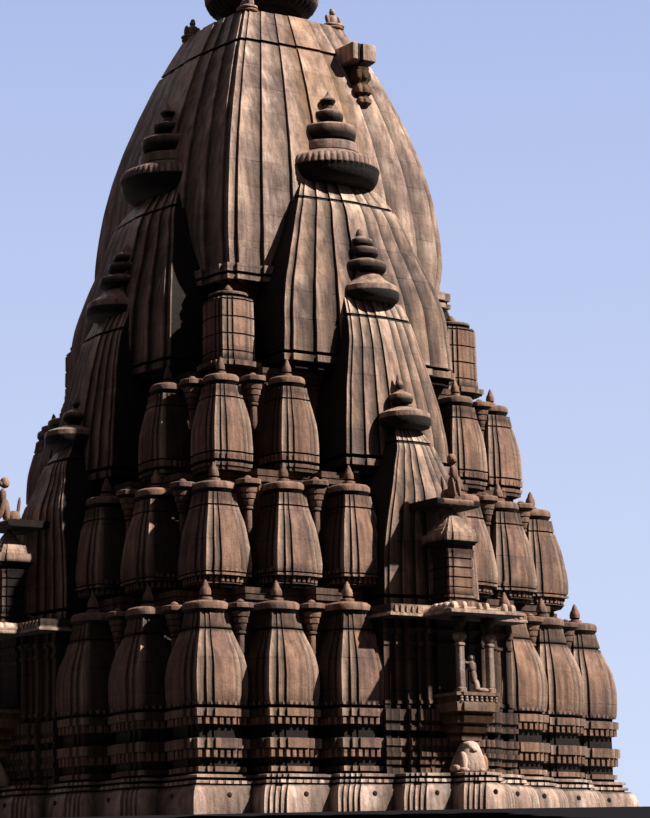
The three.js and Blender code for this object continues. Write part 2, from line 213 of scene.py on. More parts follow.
def moved(part, x, y, z=0.0):
    """The part shifted by x, y and z."""
    return part[0] + (x, y, z), *part[1:]


def quarter_turned(part, quarters):
    """The part turned about the axis by that many quarters: (x, y) goes to (-y, x) each time."""
    c, s = ((1, 0), (0, 1), (-1, 0), (0, -1))[quarters % 4]
    x, y, z = part[0].T
    return np.stack([c * x - s * y, s * x + c * y, z], 1), *part[1:]


def swapped(part):
    """Mirror image on the diagonal: x and y change places, and each face is read backwards."""
    return part[0][:, [1, 0, 2]], part[1][:, ::-1], part[2][:, ::-1], part[3]


def recess_dirt_and_shade(heights, sizes, reach, depth):
    """Painted shade and dirt in a groove: how far a level lies behind the furthest level within reach, as a
    share of depth."""
    near = np.abs(heights[:, None] - heights[None]) < reach
    return np.clip((np.where(near, sizes[None], -1e9).max(1) - sizes) / depth, 0, 1)[:, None]


def blocks(rows, taper=0.0):
    """Small dressed blocks: rows of x0, x1, y0, y1, z0, z1. The upper face is smaller all round by taper."""
    x0, x1, y0, y1, z0, z1 = np.asarray(rows, float).T
    left, right, near, far = x0 + taper, x1 - taper, y0 + taper, y1 - taper
    corners = ((x0, y0, z0), (x1, y0, z0), (x1, y1, z0), (x0, y1, z0),
               (left, near, z1), (right, near, z1), (right, far, z1), (left, far, z1))
    points = np.stack([np.stack(corner, 1) for corner in corners], 1)
    faces = np.array([[0, 3, 2, 1], [4, 5, 6, 7], [0, 1, 5, 4], [1, 2, 6, 5], [2, 3, 7, 6],
                      [3, 0, 4, 7]])
    quads = (faces[None] + 8 * np.arange(len(points))[:, None, None]).reshape(-1, 4)
    return points.reshape(-1, 3), quads, np.zeros((0, 3), int), np.zeros((8 * len(points), 2))


# Depth of the waves that edges are worn by, and the angle from which an edge is sharp.
WEAR = 1.6
CREASE = np.radians(32)


def carve(name, parts, stone):
    """Mesh object in metres from parts in millimetres. Each point is shifted a few millimetres by slow waves
    of its place, as worn edges are never dead straight."""
    points, quads, tris, marks = gather(parts)
    x, y, z = points.T / 1000
    worn = np.stack([np.sin(5.1 * y + 3.3 * z) + np.sin(13.7 * z + 2 * x),
                     np.sin(4.7 * x + 2.9 * z + 1) + np.sin(12.1 * z + 3 * y),
                     0.6 * np.sin(6.3 * x + 1) * np.sin(5.7 * y)], 1)
    points = points + WEAR * worn * (z > 0.02)[:, None]
    loops = np.concatenate([quads.ravel(), tris.ravel()]).astype(np.int32)
    sizes = np.concatenate([np.full(len(quads), 4), np.full(len(tris), 3)])
    mesh = bpy.data.meshes.new(name)
    mesh.vertices.add(len(points))
    mesh.vertices.foreach_set("co", (points / 1000).astype(np.float32).ravel())
    mesh.loops.add(len(loops))
    mesh.loops.foreach_set("vertex_index", loops)
    mesh.polygons.add(len(sizes))
    mesh.polygons.foreach_set("loop_start", (np.cumsum(sizes) - sizes).astype(np.int32))
    mesh.update(calc_edges=True)
    mesh.polygons.foreach_set("use_smooth", np.ones(len(sizes), bool))
    for label, shares in zip(("grime_and_shade", "ochre"), np.ascontiguousarray(marks.T, np.float32)):
        mesh.attributes.new(label, "FLOAT", "POINT").data.foreach_set("value", shares)
    mesh.set_sharp_from_angle(angle=CREASE)
    mesh.materials.append(stone)
    piece = bpy.data.objects.new(name, mesh)
    bpy.context.scene.collection.objects.link(piece)
    return piece


# A laid block in metres, then scales, each one over the size in metres: clouds of 0.9 m, pale patches of
# 0.35 m, grain of 26 mm, pits of 83 mm, and streaks 90 mm wide and 1.5 m long.
BLOCK_LONG, COURSE_HIGH = 0.73, 0.4
CLOUDS, PATCHES, GRAIN, PITS, STREAKS = 1.1, 2.9, 38.0, 12.0, (11.0, 11.0, 0.65)


def sandstone(name, warm, cool, pale, shade_and_soot, rust, joint):
    """Weathered sandstone. Clouds go from the warm to the cool colour and pale patches lie over them; each
    laid block has its own tint; rain has drawn streaks down it; grain and pits raise the surface. The
    attribute grime_and_shade darkens it with grime and painted shade, ochre rusts it, and ochre below nought
    leaves it washed pale; undersides are painted dark as shade, and tops hold dark lichen, all in the
    shade_and_soot colour. Joint is how dark the joints between courses are."""
    material = bpy.data.materials.new(name)
    material.use_nodes = True
    tree = material.node_tree
    tree.nodes.clear()

    def noise(vector, scale, detail, rough=0.5):
        """Cloudy noise from 0 to 1."""
        return add(tree, "ShaderNodeTexNoise", None,
                   {"Vector": vector, "Scale": scale, "Detail": detail, "Roughness": rough})[0]

    def spread(value, low, high, start=0.0, end=1.0):
        """The value carried from low and high to start and end, and held there beyond them."""
        return add(tree, "ShaderNodeMapRange", None, {0: value, 1: low, 2: high, 3: start, 4: end})[0]

    def reckon(operation, a, b=0.5, c=0.5, clamp=False):
        """One operation on up to three values."""
        settings = {"operation": operation, "use_clamp": clamp}
        return add(tree, "ShaderNodeMath", settings, {0: a, 1: b, 2: c})[0]

    def vectors(operation, a, b):
        """One operation on two places."""
        return add(tree, "ShaderNodeVectorMath", {"operation": operation}, {0: a, 1: b})[0]

    def mix(share, a, b, blend="MIX"):
        """Colour a with a share of b laid over it."""
        settings = {"data_type": "RGBA", "blend_type": blend}
        return add(tree, "ShaderNodeMix", settings, {0: share, 6: a, 7: b})[2]

    place = add(tree, "ShaderNodeTexCoord")["Object"]
    clouds = spread(noise(place, CLOUDS, 6.0, 0.6), 0.4, 0.62)
    washed = spread(noise(place, PATCHES, 5.0), 0.52, 0.7, 0.0, 0.7)
    tone = mix(washed, mix(clouds, linear(warm), linear(cool)), linear(pale))
    ochre = add(tree, "ShaderNodeAttribute", {"attribute_name": "ochre"})["Fac"]
    tone = mix(spread(ochre, 0.0, -1.0), tone, linear("#c2a692"))
    # Each block's own tint: the place is snapped to its block, every second course shifted by half.
    height = add(tree, "ShaderNodeSeparateXYZ", None, {0: place})["Z"]
    course = reckon("DIVIDE", height, COURSE_HIGH)
    shift = reckon("MULTIPLY_ADD", reckon("MODULO", reckon("FLOOR", course), 2.0), 0.36, 0.117)
    shift = add(tree, "ShaderNodeCombineXYZ", None, {0: shift, 1: shift})[0]
    cell = vectors("SNAP", vectors("ADD", place, shift), (BLOCK_LONG, BLOCK_LONG, COURSE_HIGH))
    tint = spread(add(tree, "ShaderNodeTexWhiteNoise", None, {"Vector": cell})[0], 0.0, 1.0, 0.84, 1.1)
    tone = mix(1.0, tone, tint, "MULTIPLY")
    # Rain streaks and grain.
    drawn = vectors("MULTIPLY", place, STREAKS)
    streak = spread(noise(drawn, 1.0, 4.0, 0.65), 0.36, 0.62, 0.52, 1.2)
    tone = mix(1.0, tone, streak, "MULTIPLY")
    grain = noise(place, GRAIN, 4.0, 0.7)
    tone = mix(1.0, tone, spread(grain, 0.3, 0.7, 0.84, 1.14), "MULTIPLY")
    # Darkening: soot in the joints between courses, grime and painted shade in sheltered grooves, painted
    # shade on undersides, and dark lichen on tops.
    gap = reckon("ABSOLUTE", reckon("SUBTRACT", reckon("FRACT", course), 0.5))
    gap = reckon("MULTIPLY", spread(gap, 0.476, 0.492, 0.0, joint), clouds)
    grime_and_shade = add(tree, "ShaderNodeAttribute", {"attribute_name": "grime_and_shade"})["Fac"]
    grime_and_shade = reckon("MULTIPLY_ADD", grime_and_shade, 0.98, gap)
    normal = add(tree, "ShaderNodeNewGeometry")["Normal"]
    facing = add(tree, "ShaderNodeSeparateXYZ", None, {0: normal})["Z"]
    # Painted shade: surfaces that face down are darkened.
    underside_shade = spread(facing, -0.25, -0.8, 0.0, 0.7)
    over = reckon("MULTIPLY", spread(facing, 0.45, 0.95, 0.0, 0.55), washed)
    dark = reckon("ADD", reckon("ADD", underside_shade, over), grime_and_shade, clamp=True)
    tone = mix(dark, tone, linear(shade_and_soot))
    tone = mix(reckon("MULTIPLY", ochre, streak, clamp=True), tone, linear(rust))
    relief = reckon("MULTIPLY_ADD", grain, 0.35, noise(place, PITS, 8.0, 0.65))
    bump = add(tree, "ShaderNodeBump", None, {"Height": relief, "Strength": 0.55, "Distance": 0.03})[0]
    matt = add(tree, "ShaderNodeBsdfPrincipled", None,
               {"Base Color": tone, "Roughness": 0.93, "IOR": 1.5, "Specular IOR Level": 0.25,
                "Normal": bump})["BSDF"]
    add(tree, "ShaderNodeOutputMaterial", None, {"Surface": matt})
    return material


# Pale buff sandstone, rain-washed: almost cream where water runs over it, with brown dirt and painted shade
# in the cuts.
washed_sandstone = sandstone("sandstone_washed", "#b09585", "#907567", "#d2c0b3", "#100b08", "#8a5a24", 0.3)

# Distance out of each lobe and where it ends, then height and step outwards of each level of its edge.
LOBES = np.array([[5067, 435], [4702, 1100], [4357, 1880], [4052, 2790], [3647, 3647]], float)
LOBE_EDGE = np.array([[0, -4], [70, 0], [150, -4], [230, -14], [300, -34], [350, -60], [384, -92],
                      [390, -150], [404, -150], [410, -112], [446, -116], [452, -168], [480, -168],
                      [486, -136], [518, -138], [524.5, -150]], float)
# Each lobe's corner is cut back in five narrow ribs: how far each lies behind the lobe, and from its corner.
# The last lobe has one, which meets its mirror image on the diagonal.
RIB_BACK, RIB_ASIDE = (0, 34, 62, 90, 118), (260, 195, 130, 65, 0)
outs = (LOBES[:, :1] - RIB_BACK).ravel()[:-4]
sides = (LOBES[:, 1:] - RIB_ASIDE).ravel()[:-4]
sides[-1] = outs[-1]
heights, step = LOBE_EDGE.T
rings, nook = all_round(outs[None] + step[:, None], sides[None] + step[:, None], heights)
# Painted shade with dirt: darker in the grooves of the edge and at the inner corners of the plan.
dirt_and_shade = np.maximum(recess_dirt_and_shade(heights, step, 40, 40), 0.85 * nook)
course = skin(rings, dirt_and_shade, foot=(0, 0, 0), head=(0, 0, heights[-1]))


def lump(middle, size, power, count=(14, 20), grime_and_shade=0.0, ochre=0.0, tilt=0.0):
    """Rounded lump about a middle: rings of a superellipsoid, radius cos^(2/p) and height sin^(2/p) of the
    angle up, with a shear in x by tilt times the height."""
    angle = np.linspace(-0.48 * np.pi, 0.48 * np.pi, count[0])[:, None]
    turn = np.linspace(0, 2 * np.pi, count[1], endpoint=False)[None]

    def grow(share):
        """The share raised to 2 / power, with its sign kept."""
        return np.sign(share) * np.abs(share) ** (2 / power)

    z = size[2] * grow(np.sin(angle)) + 0 * turn
    x = size[0] * grow(np.cos(angle)) * grow(np.cos(turn)) + tilt * z
    y = size[1] * grow(np.cos(angle)) * grow(np.sin(turn))
    return skin(np.stack([x, y, z], -1) + middle, grime_and_shade, ochre)


# A sooted boss in the middle of each panel and a row of dashes along the fillet.
BOSS_HEIGHT, BOSS_SIZE, BOSS_END = 262, (22, 36, 36), 230
DASH_PITCH, DASH_HALF, DASH_BACK, DASH_FRONT, DASH_FOOT, DASH_TOP = 118, 40, 150, 98, 408, 448
DASH_START, DASH_END, DASH_TAPER = 40, 270, 6.0
bosses, dashes = [], []
for (out, side), inside in zip(LOBES, (0, *LOBES[:-1, 1])):
    spot = (inside + side - BOSS_END) / 2 if inside else 0
    for sign in (-1, 1):
        at = (out - BOSS_SIZE[0], sign * spot, BOSS_HEIGHT)
        bosses.append(lump(at, BOSS_SIZE, 2.1, (6, 10), grime_and_shade=1.0))
        for middle in sign * np.arange(inside + DASH_START, side - DASH_END, DASH_PITCH):
            dashes.append((out - DASH_BACK, out - DASH_FRONT, middle - DASH_HALF, middle + DASH_HALF,
                           DASH_FOOT, DASH_TOP))
face = gather([blocks(dashes, DASH_TAPER), *bosses])
base = carve("base_course_stone", [course, *[quarter_turned(face, q) for q in range(4)]], washed_sandstone)
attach(base, "root")
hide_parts("base_course")

# Masonry core: the rough squared blocks behind the tiers, seen only as dark ledges between the towers.
# Old sandstone that never gets washed: nearly black with soot and lichen, and dark as painted shade where it
# shows between the towers and under the crown's disc.
sooted_shade_sandstone = sandstone("sandstone_sooted_shaded", "#4e3c31", "#3b2f29", "#5c4a3e", "#0c0806", "#6e481e", 0.5)
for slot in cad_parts["core_masonry"].material_slots:
    slot.material = sooted_shade_sandstone


# Miniature towers: four tiers of them ring the tower, each carved from a few stacked blocks of sandstone
# with stepped faces, cut courses, a round cushion stone and a knob. Slim pinnacles stand in the gaps, and
# plain walls close the tier behind them.
def lathe(rings, count, x=0.0, y=0.0, ochre=0.0, flutes=0, squareness=2.0, lean=0.0):
    """Round piece about an upright line. A row of rings is radius, height, grime with painted shade and,
    where it has flutes, their depth: the radius is cut back by it times 1 - |cos| of the turned angle, and
    the hollows of the flutes are darkened as painted shade. Squareness above 2 makes the round a
    superellipse."""
    r, z, grime_and_shade, depth = [*np.asarray(rings, float).T, np.zeros(len(rings))][:4]
    angle = np.linspace(0, 2 * np.pi, count, endpoint=False)
    shape = (np.abs(np.cos(angle)) ** squareness + np.abs(np.sin(angle)) ** squareness) ** (-1 / squareness)
    wave = np.abs(np.cos(angle * flutes / 2)) if flutes else 0 * angle
    radius = r[:, None] * shape + depth[:, None] * (wave - 1)
    points = np.stack([x - lean * (z - z[0])[:, None] + radius * np.cos(angle), y + radius * np.sin(angle),
                       np.broadcast_to(z[:, None], radius.shape)], -1)
    return skin(points, np.clip(grime_and_shade[:, None] + 0.6 * (depth[:, None] > 0) * (1 - wave) ** 2, 0, 1), ochre)


# Brown-pink sandstone, weathered: warm tan, with purple-grey clouds and dark rain streaks.
weathered_sandstone = sandstone("sandstone_weathered", "#80614f", "#614b43", "#957562", "#0e0907",
                                "#7a5a32", 0.3)

# Of each tier: foot, top, distance out and aside of its towers, and distance out and end of each step of the
# wall's plan. The first step starts from WALL_START.
TIER_FOOT = (525.3, 2965.0, 4600.0, 6099.4)
TIER_TOP = (2965.0, 4600.0, 6100.0, 7415.0)
TIER_TOWERS = (((3075, 3075), (3406, 2201), (3716, 1301)), ((2670, 2670), (3030, 1805), (3277, 920)),
               ((2300, 2300), (2600, 1430)), ((1920, 1920),))
TIER_WALLS = (((3500, 1640), (3190, 2540), (2870, 2870)), ((3090, 1230), (2850, 2090), (2500, 2500)),
              ((2400, 1680), (2110, 2110)), ((1740, 1740),))
WALL_START = (900, 600, 700, 1000)
# A tower's faces step out in three treads: how far each stands out and where it ends, as shares of the half
# width. The two narrow ones at the corner are washed pale.
TREAD_OUT, TREAD_END, TREAD_WASH = (1.16, 1.085, 1.0), (0.41, 0.675, 1.0), (0, -0.25, -0.4)
# Height and half width of each cut course.
TOWER_COURSES = (
    [[525, 326], [560, 326], [562, 358], [625, 358], [627, 316], [735, 316], [740, 344], [850, 350],
     [855, 392], [975, 394], [982, 372], [990, 316], [1150, 316], [1155, 346], [1250, 350],
     [1255, 388], [1350, 390], [1358, 368], [1365, 330], [1395, 330], [1400, 366], [1447, 374],
     [1520, 382], [1600, 386], [1764, 387], [1900, 374], [2041, 351], [2140, 320], [2230, 288],
     [2320, 258], [2372, 240], [2376, 222], [2392, 222], [2396, 238], [2460, 226], [2530, 212],
     [2600, 204]],
    [[2965, 270], [3000, 290], [3020, 306], [3034, 306], [3040, 282], [3070, 282], [3076, 310],
     [3116, 314], [3122, 352], [3152, 352], [3158, 332], [3170, 332], [3176, 346], [3240, 352],
     [3309, 353], [3460, 341], [3617, 322], [3740, 304], [3848, 284], [3960, 256], [4052, 234],
     [4056, 218], [4072, 218], [4076, 232], [4150, 220], [4234, 208]],
    [[4600, 278], [4650, 278], [4655, 292], [4700, 296], [4706, 274], [4736, 274], [4742, 298],
     [4830, 301], [4836, 284], [4850, 284], [4856, 302], [4949, 302], [5060, 298], [5168, 291],
     [5280, 280], [5387, 263], [5500, 240], [5592, 218], [5596, 204], [5612, 204], [5616, 216],
     [5700, 200], [5776, 192]],
    [[6099.4, 300], [6120, 300], [6124, 318], [6195, 318], [6200, 262], [6320, 258], [6324, 246],
     [6340, 246], [6344, 257], [6560, 255], [6564, 243], [6580, 243], [6584, 255], [6800, 253],
     [6804, 241], [6820, 241], [6824, 252], [7045, 250], [7049, 234], [7065, 234], [7069, 248],
     [7100, 220]],
)
# Cushion stone, collar and bud: radius, height above the neck and grime with painted shade. The lower half of
# the cushion is painted dark as shade. Each tier has its own foot height and sizes across and up; the top
# tier's is squat.
CUSHION = np.array([[196, 0, 1], [222, 24, 1], [252, 60, 1], [276, 96, 1], [284, 104, 0.2],
                    [285, 156, 0], [276, 184, 0], [248, 206, 0], [190, 218, 0], [96, 224, 0.2],
                    [86, 230, 0.4], [88, 254, 0], [82, 270, 0.2], [54, 276, 0.8], [52, 286, 0.8],
                    [68, 302, 0.1], [70, 346, 0], [60, 388, 0], [42, 420, 0], [30, 462, 0],
                    [10, 500, 0]])
CUSHION_FIT = ((2536, 1.0, 1.0), (4190, 0.93, 0.96), (5742, 0.82, 0.9), (7092, 0.9, 0.44))
# Rows of hanging dentils: lower and upper height and half width, with their pitch and width.
DENTILS = (((742, 846, 372, 96, 52), (1157, 1248, 372, 96, 52), (1402, 1452, 374, 84, 44)),
           ((3042, 3112, 316, 76, 40), (3176, 3236, 350, 76, 40)), ((4744, 4826, 304, 76, 42),), ())
# Slim pinnacle, an upturned cone of stacked rings under a flat square top and a knob: radius, height above
# the top's upper face, and grime with painted shade, dark in the notches between rings.
PINNACLE = np.array([[14, -720, 0.8], [42, -640, 0.3], [44, -420, 0.2], [40, -402, 0.9],
                     [60, -392, 0.5], [62, -366, 0.2], [50, -356, 0.9], [60, -342, 0.2],
                     [74, -270, 0.1], [70, -264, 0.8], [86, -255, 0.2], [94, -190, 0], [90, -184, 0.8],
                     [104, -176, 0.2], [114, -112, 0], [96, -100, 1], [140, -84, 0.9], [158, -66, 0.2],
                     [160, -12, 0], [150, 0, 0], [60, 4, 0.5], [46, 10, 0.6], [50, 24, 0.2],
                     [34, 44, 0], [10, 56, 0]])
PINNACLE_TOP = (2725.0, 4425.0, 5918.0)
PINNACLE_SHIFT = (70, 60)
DENTIL_START, DENTIL_END, DENTIL_DEPTH = 40, 20, 60
# Wall of a tier: levels of the plinth over the foot and of the stepped cornice under the top, and how far
# each lies back. A joint parts the wall from the tier above.
PLINTH, CORNICE = np.array([0, 90, 100]), np.array([-170, -160, -90, -80, 0])
WALL_INSET, JOINT = np.array([0, 0, -40, -40, -12, -12, 0, 0.0]), 0.5


def tower_dentils(rows, x, y):
    """Dentils on the two outer faces of a tower: a row of equal blocks across each face, which stand further
    out on the middle treads, as the face does."""
    parts = []
    for z0, z1, half, pitch, width in rows:
        middles = np.arange(-half + DENTIL_START, half - DENTIL_END, pitch)
        inside = [np.abs(middles) < end * half for end in TREAD_END[:2]]
        front = half * np.select(inside, TREAD_OUT[:2], TREAD_OUT[2])
        parts.append(np.stack([front - DENTIL_DEPTH, front, middles - width / 2, middles + width / 2,
                               z0 + 0 * middles, z1 + 0 * middles], 1))
    if not parts:
        return []
    face = blocks(np.concatenate(parts))
    return [moved(face, x, y), moved(swapped(face), x, y)]


def tier_wall(tier):
    """Wall of one tier in a corner: the stepped corner of its plan, with a plinth and a cornice."""
    start, steps = WALL_START[tier], TIER_WALLS[tier]
    befores = (start, *(side for out, side in steps))
    eighth = [(out, y) for (out, side), before in zip(steps, befores) for y in (before, side)]
    eighth = np.array(eighth[:-1] + [(steps[-1][0],) * 2], float)
    ring = np.concatenate([eighth, eighth[-2::-1, ::-1], [[start, start]]])
    bottom, top = TIER_FOOT[tier], TIER_TOP[tier] - JOINT
    heights = np.concatenate([bottom + PLINTH, top + CORNICE])
    outer = (ring > start + 1).astype(float)
    wall = ring[None] + WALL_INSET[:, None, None] * outer[None]
    z = np.broadcast_to(heights[:, None, None], (len(heights), len(ring), 1))
    rings, middle = np.concatenate([wall, z], -1), start + 60
    # The whole wall is darkened halfway: painted shade with grime behind the towers.
    return skin(rings, 0.55, foot=(middle, middle, bottom), head=(middle, middle, top))


def tier_of(tier):
    """Wall, towers and pinnacles of one tier in the corner between the right and the back side."""
    heights, sizes = np.array(TOWER_COURSES[tier], float).T
    rings, nook = all_round(sizes[:, None] * TREAD_OUT, sizes[:, None] * TREAD_END, heights)
    # Painted shade with dirt: darker in the grooves between courses and at the inner corners of the plan.
    dirt_and_shade = np.maximum(recess_dirt_and_shade(heights, sizes, 90, 24), 0.9 * nook)
    pale = all_eighths(np.repeat(TREAD_WASH, 2))
    corner_body = skin(rings, dirt_and_shade, pale)
    # The faces turned to the neighbours are painted black towards the wall: painted shade.
    out, aside = rings[..., 0] / sizes[:, None], np.abs(rings[..., 1]) / sizes[:, None]
    body = skin(rings, np.maximum(dirt_and_shade, 0.85 * ((aside >= np.abs(out)) & (out < 0.9))), pale)
    foot, wide, tall = CUSHION_FIT[tier]
    stone = lathe(CUSHION * (wide, tall, 1) + (0, foot, 0), 28, squareness=2.5)
    # Each tower off the diagonal has a mirror twin.
    places = sorted(place for out, side in TIER_TOWERS[tier] for place in {(out, side), (side, out)})
    parts = []
    for x, y in places:
        own = corner_body if x == y else body if x > y else swapped(body)
        parts += [moved(own, x, y), moved(stone, x, y)]
    for x, y in places:
        parts += tower_dentils(DENTILS[tier], x, y)
    # Pinnacles in the gaps between neighbours.
    for a, b in zip(TIER_TOWERS[tier], TIER_TOWERS[tier][1:]):
        x, y = np.add(a, b) / 2 + PINNACLE_SHIFT
        pin = lathe(PINNACLE + (0, PINNACLE_TOP[tier], 0), 16, x, y, squareness=3.0)
        parts += [pin, swapped(pin)]
    return parts + [tier_wall(tier)]


CORNERS = ("back_right", "back_left", "front_left", "front_right")
for row, tiers in (("lower", (0,)), ("middle", (1,)), ("upper", (2, 3))):
    corner = gather([part for tier in tiers for part in tier_of(tier)])
    for quarters, where in enumerate(CORNERS):
        towers = carve(f"{where}_{row}_towers_stone", [quarter_turned(corner, quarters)], weathered_sandstone)
        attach(towers, "root")
        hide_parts(f"{where}_{row}_towers")


# Half spires: three on each side, one over the other, leaning into the main spire. Curved courses of
# sandstone that step out in stripes towards the middle, under a grooved neck and a stack of dished discs.

# Sandstone rubbed by wind, tan with purple-grey clouds, and one bleached by sun and rain: pinkish and paler.
spire_sandstone = sandstone("sandstone_rubbed", "#957866", "#735f57", "#ab8f7d", "#0e0907", "#806036", 0.25)
bleached_sandstone = sandstone("sandstone_bleached", "#a98e7c", "#8a7268", "#c2a998", "#100b08",
                               "#8f683c", 0.25)


def bend(heights, rows):
    """Values at the heights on the smooth curve through the rows: cubic pieces with the slope of the straight
    lines either side of each row."""
    z, v = np.asarray(rows, float).T
    slope = np.gradient(v, z)
    i = np.clip(np.searchsorted(z, heights, side="right") - 1, 0, len(z) - 2)
    span = z[i + 1] - z[i]
    t = (heights - z[i]) / span
    return ((1 + 2 * t) * (1 - t) ** 2 * v[i] + t * (1 - t) ** 2 * span * slope[i]
            + t * t * (3 - 2 * t) * v[i + 1] + t * t * (t - 1) * span * slope[i + 1])


# Stacks of discs from the neck up: radius, height and grime with painted shade, dark under each rim, and
# flute depth where the rims are cut.
LOWER_DISCS = [
    [200, 5210, 1], [250, 5223, 1], [320, 5245, 1], [350, 5290, 1], [356, 5362, 1], [356, 5380, 0.2],
    [355, 5438, 0], [335, 5452, 0], [250, 5490, 0], [140, 5530, 0.1], [80, 5545, 0.7], [72, 5575, 1],
    [95, 5592, 1], [140, 5606, 1], [155, 5640, 1], [156, 5680, 0.6], [150, 5722, 0], [108, 5745, 0],
    [52, 5775, 0.3], [34, 5800, 0.9], [44, 5818, 0.9], [53, 5850, 0.9], [55, 5880, 0.2], [50, 5905, 0],
    [30, 5950, 0], [22, 5985, 0], [9, 6018, 0]]
MIDDLE_DISCS = [
    [300, 7131, 1], [380, 7150, 1], [408, 7190, 1], [416, 7262, 1], [416, 7280, 0.2], [411, 7346, 0],
    [394, 7360, 0], [325, 7405, 0], [250, 7470, 0], [200, 7535, 0], [182, 7563, 0.3], [138, 7572, 0.9],
    [200, 7588, 1], [270, 7602, 1], [290, 7630, 1], [295, 7680, 0.8], [293, 7724, 0], [270, 7738, 0],
    [190, 7768, 0], [120, 7800, 0.4], [112, 7814, 1], [180, 7825, 1], [204, 7850, 1], [209, 7900, 0.8],
    [204, 7944, 0], [150, 7962, 0], [92, 7972, 0.7], [100, 7979, 1], [140, 7987, 1], [157, 8010, 1],
    [160, 8048, 0.8], [152, 8084, 0], [92, 8115, 0], [58, 8145, 0.2], [54, 8185, 0], [38, 8222, 0],
    [12, 8260, 0]]
UPPER_DISCS = [
    [400, 8985, 1, 0], [600, 9000, 1, 0], [676, 9034, 1, 0], [716, 9092, 1, 0], [736, 9160, 1, 0],
    [742, 9225, 1, 4], [754, 9240, 0.6, 16], [752, 9264, 0, 18], [739, 9330, 0, 18],
    [716, 9370, 0, 14], [676, 9396, 0, 6], [600, 9424, 0, 0], [480, 9478, 0, 0], [446, 9502, 0.6, 0],
    [453, 9512, 0, 0], [453, 9600, 0, 0], [438, 9640, 0, 0], [250, 9648, 1, 0], [300, 9668, 1, 0],
    [385, 9700, 1, 0], [404, 9760, 1, 0], [406, 9812, 0.7, 0], [404, 9880, 0, 0], [384, 9904, 0, 0],
    [300, 9930, 0, 0], [190, 9962, 0.1, 0], [124, 9970, 1, 0], [150, 9978, 1, 0], [190, 9990, 1, 0],
    [214, 10022, 1, 0], [221, 10080, 0.8, 0], [218, 10122, 0, 0], [160, 10152, 0, 0],
    [84, 10180, 0.2, 0], [66, 10200, 0.6, 0], [66, 10240, 0.3, 0], [92, 10272, 0.9, 0],
    [110, 10310, 0.8, 0], [104, 10338, 0, 0], [62, 10368, 0, 0], [42, 10400, 0, 0], [14, 10457, 0, 0]]
# Name, wall line, distance out and lean of the discs, their rings, height of the groove under the neck, then
# rows of height, distance out and half width, and the foot's two levels, distance out and half width.
HALF_SPIRES = (
    ("lower", 2300, 3350, 0.2, LOWER_DISCS, 5008,
     [[2895, 3945, 780], [3500, 3930, 745], [4000, 3895, 650], [4250, 3862, 580], [4710, 3695, 405],
      [4930, 3622, 322], [5010, 3580, 298], [5215, 3430, 205]], (2690.6, 2840, 3975, 800)),
    ("middle", 1500, 2605, 0.2, MIDDLE_DISCS, 6885,
     [[4860, 3290, 865], [5290, 3248, 830], [5920, 3129, 728], [6500, 2988, 592], [6785, 2903, 546],
      [7040, 2785, 506], [7155, 2718, 480]], (4600, 4800, 3330, 890)),
    ("upper", 900, 1610, -0.05, UPPER_DISCS, 8690,
     [[6345, 2765, 1430], [6560, 2750, 1416], [7250, 2668, 1340], [7680, 2545, 1200],
      [8120, 2395, 1034], [8580, 2250, 866], [8850, 2096, 728], [9000, 1990, 640]],
     (6100, 6290, 2795, 1455)),
)
SIDES = ("right", "back", "left", "front")
# Shares of the half width where each stripe ends, and how far each lies behind the middle band.
STRIPE_ENDS = np.array([0.16, 0.41, 0.67, 0.92, 1.0])
STRIPE_BACK = np.array([0.0, 0.035, 0.07, 0.105, 0.14])
GROOVE_DEPTH, GROOVE_HALF, GROOVE_EDGES = 24.0, 17, np.array([-26, -16, 16, 26])
DISC_FLUTES, DISC_POINTS = 52, 312

for name, inner, disc_out, lean, discs, groove, rows, (z0, z1, foot_out, foot_half) in HALF_SPIRES:
    rows = np.array(rows, float)
    even = np.linspace(rows[0, 0], rows[-1, 0], 34)
    fine = np.sort(np.concatenate([even, groove + GROOVE_EDGES]))
    front, half = bend(fine, rows[:, :2]), bend(fine, rows[:, [0, 2]])
    cut = np.where(np.abs(fine - groove) < GROOVE_HALF, GROOVE_DEPTH, 0)
    # Moulded foot: height, step outwards, and grime with painted shade, dark in its recesses, of each level.
    foot = np.array([[z0, -70, 1], [z1 - 108, -70, 1], [z1 - 102, -8, 0.4], [z1 - 92, 0, 0], [z1 - 8, 0, 0],
                     [z1, -10, 0], [z1 + 6, -84, 1], [rows[0, 0] - 1, -84, 1]])
    heights = np.concatenate([foot[:, 0], fine])
    front = np.concatenate([foot_out + foot[:, 1], front - cut])
    half = np.concatenate([foot_half + foot[:, 1], half - cut])
    # The groove under the neck is painted dark as shade.
    grime_and_shade = np.concatenate([foot[:, 2], cut / GROOVE_DEPTH])
    outs = front[:, None] - half[:, None] * STRIPE_BACK
    rings, nook = against_wall(outs, half[:, None] * STRIPE_ENDS, inner, heights)
    # The neck and the stone just under it are washed pale.
    washed = -np.interp(heights - groove, [-600, -150, 60, 300], [0, 0.3, 0.85, 0.7])
    # Painted shade: the inner corners of the stripes and the sides back from the front are darkened.
    body = skin(rings, np.maximum(grime_and_shade[:, None], nook), washed[:, None], foot=(inner, 0, heights[0]),
                head=(disc_out, 0, heights[-1]))
    spire = gather([body, lathe(discs, DISC_POINTS, disc_out, flutes=DISC_FLUTES, lean=lean)])
    for quarters, side in enumerate(SIDES):
        piece = carve(f"{side}_{name}_spire_stone", [quarter_turned(spire, quarters)], spire_sandstone)
        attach(piece, "root")
        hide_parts(f"{side}_{name}_spire")


# Bay: the wall that stands out in the middle of each side, in stepped pilasters of sandstone over two ledges,
# with a plain recess behind the balcony.

